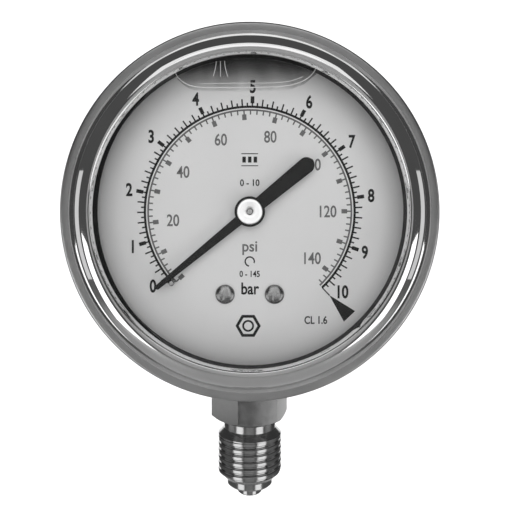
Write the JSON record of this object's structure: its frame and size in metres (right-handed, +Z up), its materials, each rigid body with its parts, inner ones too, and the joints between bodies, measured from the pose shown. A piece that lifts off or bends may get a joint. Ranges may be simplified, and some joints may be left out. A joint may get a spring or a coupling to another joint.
{
  "type": "pressure gauge",
  "caption": "Round dial pressure gauge with a curved bourdon tube movement, a polished crimped bezel and a threaded stem with a hexagon below the case.",
  "frame": {"origin": "on the stem's axis, at the free end of the full process thread", "axes": "+Z up along the stem towards the dial, -Y out of the dial towards the reader, +X to the reader's right"},
  "size_m": [0.0686, 0.0332, 0.0927],
  "materials": {
    "case_steel": "satin",
    "bezel_steel": "polished",
    "window_glass": "clear",
    "black_rubber": "matte",
    "stem_steel": "turned",
    "screw_steel": "bright",
    "dial_white": "matte",
    "tube_steel": "satin",
    "spring_bronze": "satin",
    "brass": "satin",
    "pointer_black": "satin",
    "hub_steel": "brushed"
  },
  "bodies": {
    "housing": {"case_shell": "case_steel", "bezel_ring": "bezel_steel", "window": "window_glass", "window_gasket": "black_rubber", "fill_plug": "black_rubber", "socket_stem": "stem_steel", "stem_seal": "black_rubber", "case_screws": "screw_steel", "inlet_restrictor": "screw_steel", "dial": "dial_white", "dial_screws": "screw_steel", "dial_posts": "stem_steel", "stop_pin": "screw_steel", "bourdon_tube": "tube_steel", "hairspring": "spring_bronze", "hairspring_stud": "brass", "movement_back_plate": "brass", "movement_front_plate": "brass", "movement_pillars": "brass", "movement_screws": "screw_steel"},
    "sector": {"sector_gear": "brass", "sector_arbor": "screw_steel", "tail_pin": "screw_steel"},
    "pointer_shaft": {"pinion_arbor": "screw_steel", "hairspring_collet": "brass", "pointer": "pointer_black", "pointer_hub": "hub_steel"},
    "link": {"link": "brass"},
    "tube_tip": {"tip_block": "tube_steel", "tip_pin": "screw_steel"}
  },
  "joints": [
    {"name": "sector_turn", "type": "hinge", "parent": "housing", "child": "sector", "pos_m": [0.00765, 0, 0.04585], "axis": [0, 1, 0], "range_deg": [-33.16, 0], "stiffness_Nm_per_rad": 0.002, "springref_deg": 8.59},
    {"name": "pointer_turn", "type": "hinge", "parent": "housing", "child": "pointer_shaft", "pos_m": [0, 0, 0.0535], "axis": [0, 1, 0], "range_deg": [0, 265.32], "deforming": ["hairspring"]},
    {"name": "link_turn", "type": "hinge", "parent": "sector", "child": "link", "pos_m": [0.01142, 0, 0.04256], "axis": [0, 1, 0], "range_deg": [0, 33.17]},
    {"name": "tip_turn", "type": "hinge", "parent": "housing", "child": "tube_tip", "pos_m": [-0.00443, 0, 0.0596], "axis": [0, 1, 0], "range_deg": [-7.54, 0], "deforming": ["bourdon_tube"]}
  ],
  "couplings": [
    {"joint": "pointer_turn", "follows": "sector_turn", "ratio": -8},
    {"joint": "link_turn", "follows": "sector_turn", "ratio": -1},
    {"joint": "tip_turn", "follows": "sector_turn", "ratio": 0.22738}
  ]
}
